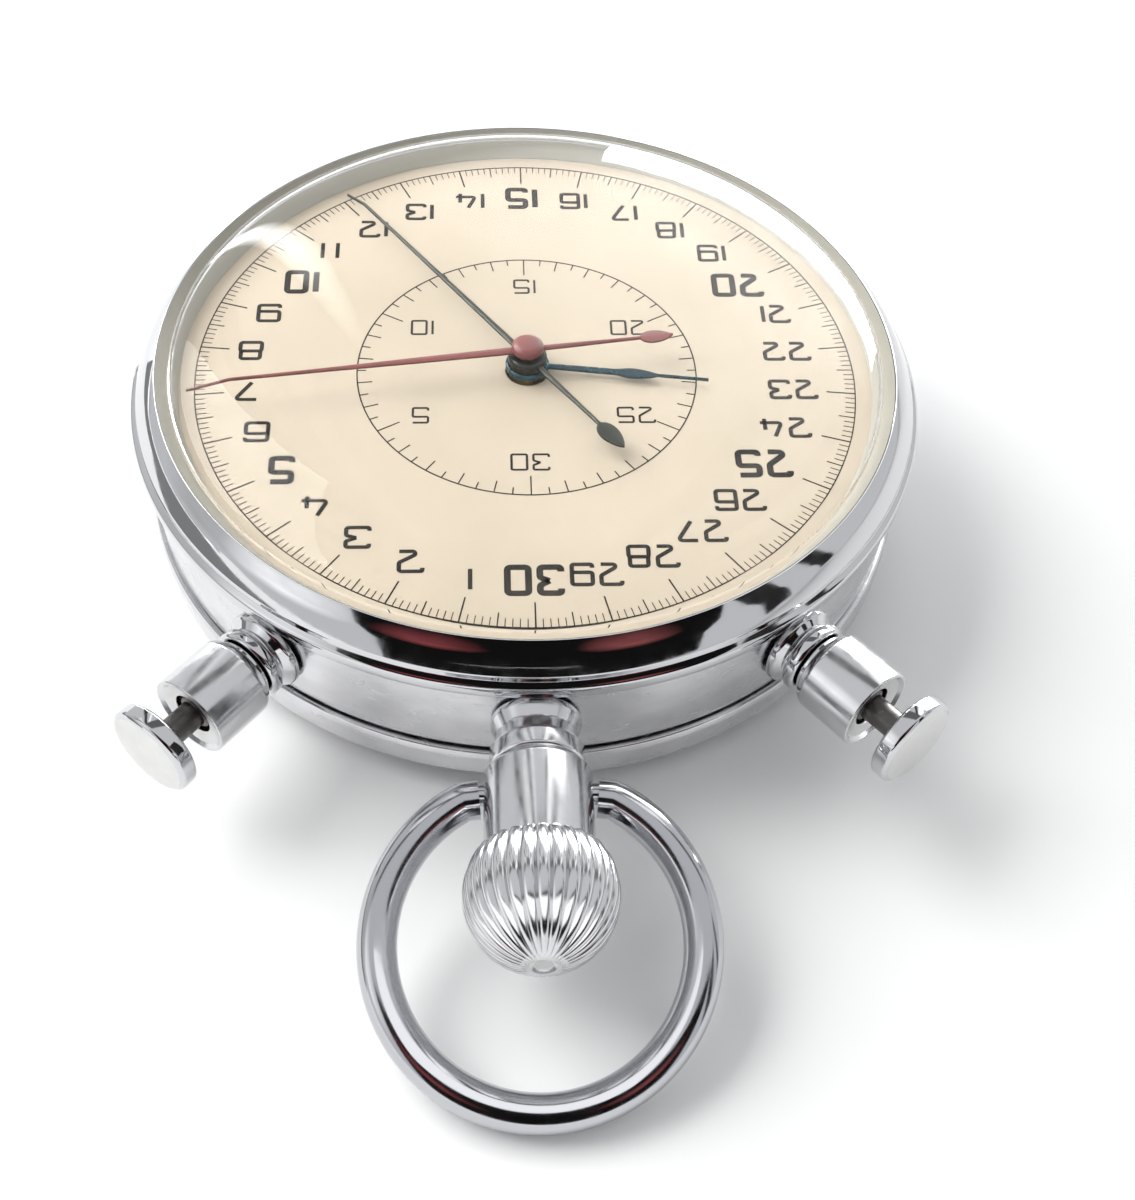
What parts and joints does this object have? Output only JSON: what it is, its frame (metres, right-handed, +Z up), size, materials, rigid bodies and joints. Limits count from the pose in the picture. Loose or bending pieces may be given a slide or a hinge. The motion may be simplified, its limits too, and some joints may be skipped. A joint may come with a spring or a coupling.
{
  "type": "split-seconds stopwatch",
  "caption": "Hand-wound split-seconds stopwatch lying dial up: round polished case with domed crystal, fluted ball crown, swinging bow and a pusher either side.",
  "frame": {"origin": "centre of the case back's flat outer face, where the watch lies on the table", "axes": "+Z up out of the dial, -Y along the winding crown, +X to the right with the crown pointing at the viewer"},
  "size_m": [0.065, 0.0924, 0.02],
  "materials": {
    "polished_chrome": "polished chrome plate",
    "satin_chrome": "satin chrome plate",
    "steel": "brushed steel",
    "dark_steel": "dark oiled steel",
    "spring_steel": "spring steel",
    "brass": "brushed brass",
    "nickel": "nickel plate, frosted",
    "acrylic": "clear domed acrylic",
    "dial_enamel": "cream lacquer, black printing",
    "red_lacquer": "red lacquer",
    "blued_steel": "heat-blued steel"
  },
  "bodies": {
    "case": {"case_back": "satin_chrome", "case_middle": "satin_chrome", "bezel": "polished_chrome", "crystal": "acrylic", "movement_ring": "nickel", "pendant_tube": "polished_chrome", "crown_spring": "spring_steel", "left_pusher_tube": "polished_chrome", "left_pusher_sleeve": "polished_chrome", "left_pusher_spring": "spring_steel", "right_pusher_tube": "polished_chrome", "right_pusher_sleeve": "polished_chrome", "right_pusher_spring": "spring_steel", "dial": "dial_enamel", "main_plate": "brass", "barrel_bridge": "nickel", "train_bridge": "nickel", "pallet_cock": "nickel", "balance_cock": "nickel", "crown_wheel_screw": "blued_steel", "mainspring": "spring_steel", "hairspring": "blued_steel"},
    "winding": {"winding_pinion": "steel"},
    "crown": {"crown": "polished_chrome", "crown_stem": "steel"},
    "crown_wheel": {"crown_wheel": "steel"},
    "ratchet": {"ratchet_wheel": "steel", "ratchet_screw": "blued_steel", "barrel_arbor": "steel"},
    "click": {"click": "steel"},
    "bow": {"bow_ring": "polished_chrome"},
    "left_pusher": {"left_pusher_plunger": "dark_steel", "left_pusher_cap": "polished_chrome"},
    "right_pusher": {"right_pusher_plunger": "dark_steel", "right_pusher_cap": "polished_chrome"},
    "reset_hammer": {"reset_hammer": "steel"},
    "split_lever": {"split_lever": "steel"},
    "split_clamp_upper": {"split_clamp_upper": "steel"},
    "split_clamp_lower": {"split_clamp_lower": "steel"},
    "start_lever": {"start_lever": "steel"},
    "seconds": {"centre_seconds_wheel": "brass", "seconds_heart_cam": "steel", "seconds_hand": "blued_steel"},
    "third": {"third_wheel": "brass"},
    "barrel": {"barrel": "brass", "barrel_cover": "brass"},
    "escape": {"escape_wheel": "steel"},
    "pallet": {"pallet_fork": "steel"},
    "balance": {"balance_wheel": "brass"},
    "minute": {"minute_wheel": "brass", "minute_hand": "blued_steel"},
    "counter": {"minute_counter_wheel": "brass"},
    "split": {"split_arbor": "steel", "split_wheel": "brass", "split_heart_cam": "steel", "split_seconds_hand": "red_lacquer"},
    "column_wheel": {"column_wheel": "steel"},
    "brake": {"brake_lever": "steel"}
  },
  "joints": [
    {"name": "crown_turn", "type": "hinge", "parent": "case", "child": "winding", "pos_m": [0, -0.0195, 0.0095], "axis": [0, 1, 0], "continuous": true},
    {"name": "crown_press", "type": "slide", "parent": "winding", "child": "crown", "axis": [0, 1, 0], "range_m": [0, 0.0015], "stiffness_N_per_m": 1500, "springref_m": -0.0008, "deforming": ["crown_spring"]},
    {"name": "crown_wheel_turn", "type": "hinge", "parent": "case", "child": "crown_wheel", "pos_m": [0, -0.0145, 0.0052], "axis": [0, 0, 1], "continuous": true},
    {"name": "ratchet_turn", "type": "hinge", "parent": "case", "child": "ratchet", "pos_m": [-0.0115, -0.009, 0.0052], "axis": [0, 0, 1], "continuous": true},
    {"name": "click_lift", "type": "hinge", "parent": "case", "child": "click", "pos_m": [-0.0206, -0.0142, 0.0052], "axis": [0, 0, 1], "range_deg": [-8, 0], "stiffness_Nm_per_rad": 0.002, "springref_deg": 5.73},
    {"name": "bow_swing", "type": "hinge", "parent": "case", "child": "bow", "pos_m": [0, -0.0381, 0.0095], "axis": [-1, 0, 0], "range_deg": [-105, 147]},
    {"name": "left_pusher_press", "type": "slide", "parent": "case", "child": "left_pusher", "axis": [0.6361, 0.7716, 0], "range_m": [0, 0.0015], "stiffness_N_per_m": 1200, "springref_m": -0.0008, "deforming": ["left_pusher_spring"]},
    {"name": "right_pusher_press", "type": "slide", "parent": "case", "child": "right_pusher", "axis": [-0.6361, 0.7716, 0], "range_m": [0, 0.0015], "stiffness_N_per_m": 1200, "springref_m": -0.0008, "deforming": ["right_pusher_spring"]},
    {"name": "reset_hammer_swing", "type": "hinge", "parent": "case", "child": "reset_hammer", "pos_m": [-0.0215, -0.0035, 0.0034], "axis": [0, 0, 1], "range_deg": [0, 5.5]},
    {"name": "split_lever_swing", "type": "hinge", "parent": "case", "child": "split_lever", "pos_m": [0.0215, -0.0035, 0.0034], "axis": [0, 0, 1], "range_deg": [-5.5, 0]},
    {"name": "split_clamp_upper_close", "type": "hinge", "parent": "case", "child": "split_clamp_upper", "pos_m": [0.0068, 0.0026, 0.0018], "axis": [0, 0, 1], "range_deg": [0, 2.2]},
    {"name": "split_clamp_lower_close", "type": "hinge", "parent": "case", "child": "split_clamp_lower", "pos_m": [0.0068, -0.0026, 0.0018], "axis": [0, 0, 1], "range_deg": [-2.2, 0]},
    {"name": "start_lever_swing", "type": "hinge", "parent": "case", "child": "start_lever", "pos_m": [0.006, -0.015, 0.0094], "axis": [0, 0, 1], "range_deg": [-14.5, 0]},
    {"name": "seconds_run", "type": "hinge", "parent": "case", "child": "seconds", "pos_m": [0, 0, 0.009], "axis": [0, 0, 1], "continuous": true},
    {"name": "third_run", "type": "hinge", "parent": "case", "child": "third", "pos_m": [-0.00715, 0.00089, 0.009], "axis": [0, 0, 1], "continuous": true},
    {"name": "barrel_run", "type": "hinge", "parent": "case", "child": "barrel", "pos_m": [-0.0115, -0.009, 0.008], "axis": [0, 0, 1], "continuous": true},
    {"name": "escape_run", "type": "hinge", "parent": "case", "child": "escape", "pos_m": [0.00225, 0.00556, 0.009], "axis": [0, 0, 1], "continuous": true},
    {"name": "pallet_rock", "type": "hinge", "parent": "case", "child": "pallet", "pos_m": [0.00401, 0.00992, 0.0102], "axis": [0, 0, 1], "range_deg": [-4, 4]},
    {"name": "balance_swing", "type": "hinge", "parent": "case", "child": "balance", "pos_m": [0.00569, 0.01409, 0.0083], "axis": [0, 0, 1], "range_deg": [-270, 270], "stiffness_Nm_per_rad": 0.0000002, "deforming": ["hairspring"]},
    {"name": "minute_run", "type": "hinge", "parent": "case", "child": "minute", "pos_m": [0, 0, 0.0137], "axis": [0, 0, 1], "continuous": true},
    {"name": "counter_run", "type": "hinge", "parent": "case", "child": "counter", "pos_m": [0.00675, -0.0039, 0.0137], "axis": [0, 0, 1], "continuous": true},
    {"name": "split_run", "type": "hinge", "parent": "case", "child": "split", "pos_m": [0, 0, 0.009], "axis": [0, 0, 1], "continuous": true},
    {"name": "column_wheel_turn", "type": "hinge", "parent": "case", "child": "column_wheel", "pos_m": [0.0095, -0.012, 0.003], "axis": [0, 0, 1], "continuous": true},
    {"name": "brake_swing", "type": "hinge", "parent": "case", "child": "brake", "pos_m": [0.0175, 0.012, 0.0083], "axis": [0, 0, 1], "range_deg": [-3.5, 0]}
  ],
  "couplings": [
    {"joint": "crown_wheel_turn", "follows": "crown_turn", "ratio": -0.61538},
    {"joint": "ratchet_turn", "follows": "crown_turn", "ratio": 0.38095},
    {"joint": "third_run", "follows": "seconds_run", "ratio": -0.2},
    {"joint": "barrel_run", "follows": "seconds_run", "ratio": 0.04},
    {"joint": "escape_run", "follows": "seconds_run", "ratio": -4},
    {"joint": "minute_run", "follows": "seconds_run", "ratio": 0.016667},
    {"joint": "counter_run", "follows": "seconds_run", "ratio": -0.055556},
    {"joint": "reset_hammer_swing", "follows": "left_pusher_press", "rad_per_m": 60},
    {"joint": "split_lever_swing", "follows": "right_pusher_press", "rad_per_m": -60},
    {"joint": "split_clamp_upper_close", "follows": "right_pusher_press", "rad_per_m": 23.3},
    {"joint": "split_clamp_lower_close", "follows": "right_pusher_press", "rad_per_m": -23.3},
    {"joint": "start_lever_swing", "follows": "crown_press", "rad_per_m": -163}
  ]
}
